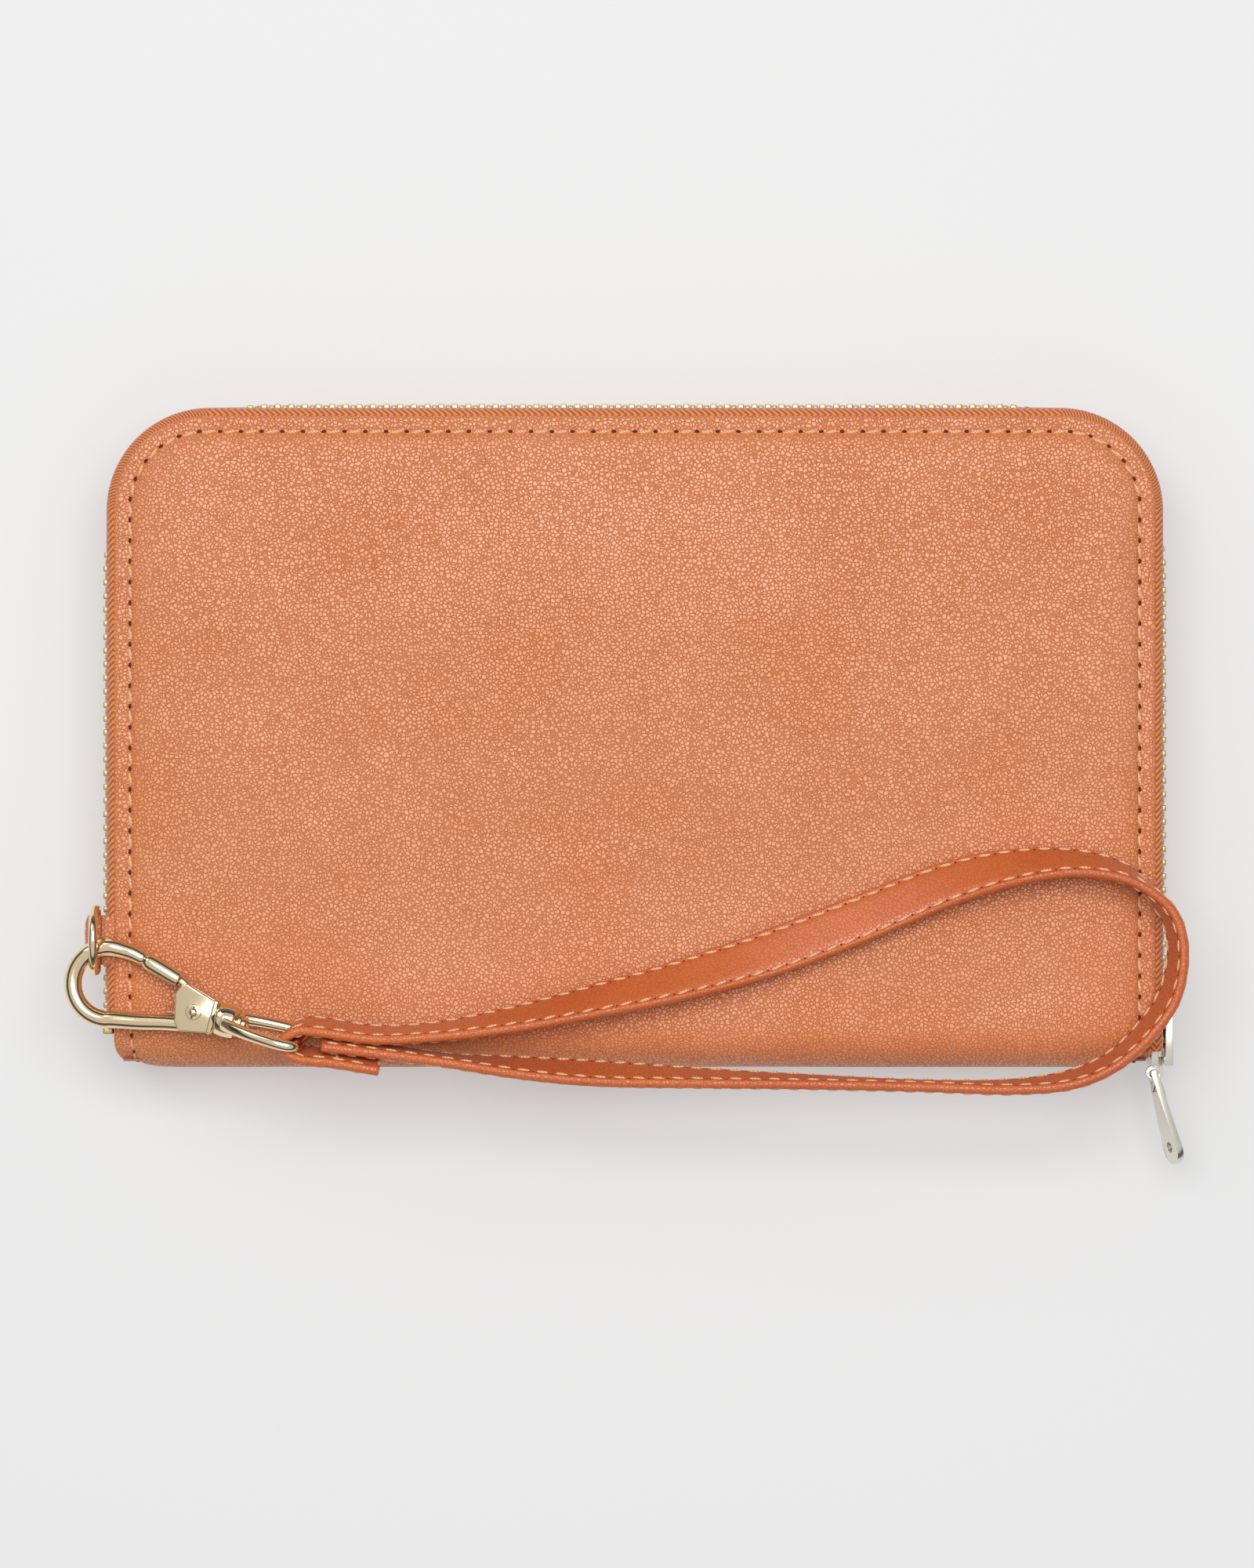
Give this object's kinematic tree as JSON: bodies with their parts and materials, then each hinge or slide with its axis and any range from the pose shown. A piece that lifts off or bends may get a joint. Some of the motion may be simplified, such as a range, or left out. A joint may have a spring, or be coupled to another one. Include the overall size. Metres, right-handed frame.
{
  "type": "zip around wallet",
  "caption": "Zip-around long leather wallet with folding covers, card slots, a zipped coin pocket, and a wrist strap on a swivel clasp and ring.",
  "frame": {"origin": "centre of the back cover's outer face", "axes": "+Z out of the front cover, +X along the wallet's width towards the zip slider, +Y from the spine to the top zip edge"},
  "size_m": [0.204, 0.1398, 0.0378],
  "materials": {
    "leather": "satin pebble grain",
    "lining": "matt woven",
    "board": "matt",
    "zip_tape": "matt herringbone",
    "pale_gold": "polished",
    "silver": "polished"
  },
  "bodies": {
    "back": {"back_cover": "leather", "back_board": "board", "back_lining": "lining", "back_card_slot_1": "leather", "back_card_slot_2": "leather", "back_card_slot_3": "leather", "back_card_slot_4": "leather", "back_zip_tape": "zip_tape", "back_zip_teeth": "pale_gold", "back_zip_stop": "pale_gold", "gusset_back_left": "lining", "gusset_back_right": "lining"},
    "spine": {"spine_cover": "leather", "spine_lining": "lining", "coin_pocket_back_wall": "leather", "coin_pocket_front_wall": "leather", "coin_zip_tape": "zip_tape", "coin_zip_teeth": "pale_gold"},
    "front": {"front_cover": "leather", "front_board": "board", "front_lining": "lining", "front_card_slot_1": "leather", "front_card_slot_2": "leather", "front_card_slot_3": "leather", "front_card_slot_4": "leather", "front_zip_tape": "zip_tape", "front_zip_teeth": "pale_gold", "front_zip_stop": "pale_gold", "gusset_front_left": "lining", "gusset_front_right": "lining", "ring_tab": "leather"},
    "slider": {"zip_slider": "silver"},
    "pull": {"zip_pull": "silver"},
    "coin_slider": {"coin_zip_slider": "silver"},
    "coin_pull": {"coin_zip_pull": "silver"},
    "ring": {"d_ring": "pale_gold"},
    "hook": {"clasp_hook": "pale_gold", "gate_pin": "pale_gold", "gate_spring": "silver", "swivel_post": "pale_gold"},
    "gate": {"clasp_gate": "pale_gold"},
    "eye": {"swivel_eye": "pale_gold"},
    "strap": {"wrist_strap": "leather"}
  },
  "joints": [
    {"name": "spine_fold", "type": "hinge", "parent": "back", "child": "spine", "pos_m": [0, -0.0577, 0.0018], "axis": [1, 0, 0], "range_deg": [0, 45], "deforming": ["back_zip_teeth", "front_zip_teeth", "gusset_back_left", "gusset_back_right", "gusset_front_left", "gusset_front_right"]},
    {"name": "cover_fold", "type": "hinge", "parent": "spine", "child": "front", "pos_m": [0, -0.0577, 0.0222], "axis": [1, 0, 0], "range_deg": [0, 45], "deforming": ["back_zip_teeth", "front_zip_teeth", "gusset_back_left", "gusset_back_right", "gusset_front_left", "gusset_front_right"]},
    {"name": "zip_slide", "type": "slide", "parent": "back", "child": "slider", "axis": [0, 1, 0], "range_m": [0, 0.08], "deforming": ["back_zip_teeth", "front_zip_teeth"]},
    {"name": "pull_swing", "type": "hinge", "parent": "slider", "child": "pull", "pos_m": [0.0954, -0.0609, 0.012], "axis": [0, 0, 1], "range_deg": [-14, 80]},
    {"name": "coin_zip_slide", "type": "slide", "parent": "spine", "child": "coin_slider", "axis": [-1, 0, 0], "range_m": [0, 0.12], "deforming": ["coin_zip_teeth"]},
    {"name": "coin_pull_swing", "type": "hinge", "parent": "coin_slider", "child": "coin_pull", "pos_m": [0.068, 0.0467, 0.012], "axis": [0, 0, 1], "range_deg": [-160, 0]},
    {"name": "ring_swing", "type": "hinge", "parent": "front", "child": "ring", "pos_m": [-0.0984, -0.0362, 0.0196], "axis": [0, 1, 0], "range_deg": [-95, 0]},
    {"name": "hook_swing", "type": "hinge", "parent": "ring", "child": "hook", "pos_m": [-0.0984, -0.0419, 0.0225], "axis": [0, 0, 1], "range_deg": [-15, 20]},
    {"name": "gate_pivot", "type": "hinge", "parent": "hook", "child": "gate", "pos_m": [-0.07965, -0.04913, 0.02823], "axis": [-0.1448, 0.0374, 0.9888], "range_deg": [0, 20], "stiffness_Nm_per_rad": 0.02, "springref_deg": -20.05, "deforming": ["gate_spring"]},
    {"name": "swivel", "type": "hinge", "parent": "hook", "child": "eye", "pos_m": [-0.0763, -0.05, 0.02875], "axis": [0.9573, -0.2476, 0.1495], "range_deg": [0, 180]},
    {"name": "strap_swing", "type": "hinge", "parent": "eye", "child": "strap", "pos_m": [-0.06051, -0.05408, 0.03122], "axis": [-0.201, -0.1979, 0.9594], "range_deg": [0, 20]}
  ],
  "couplings": [
    {"joint": "cover_fold", "follows": "spine_fold", "ratio": 1}
  ]
}
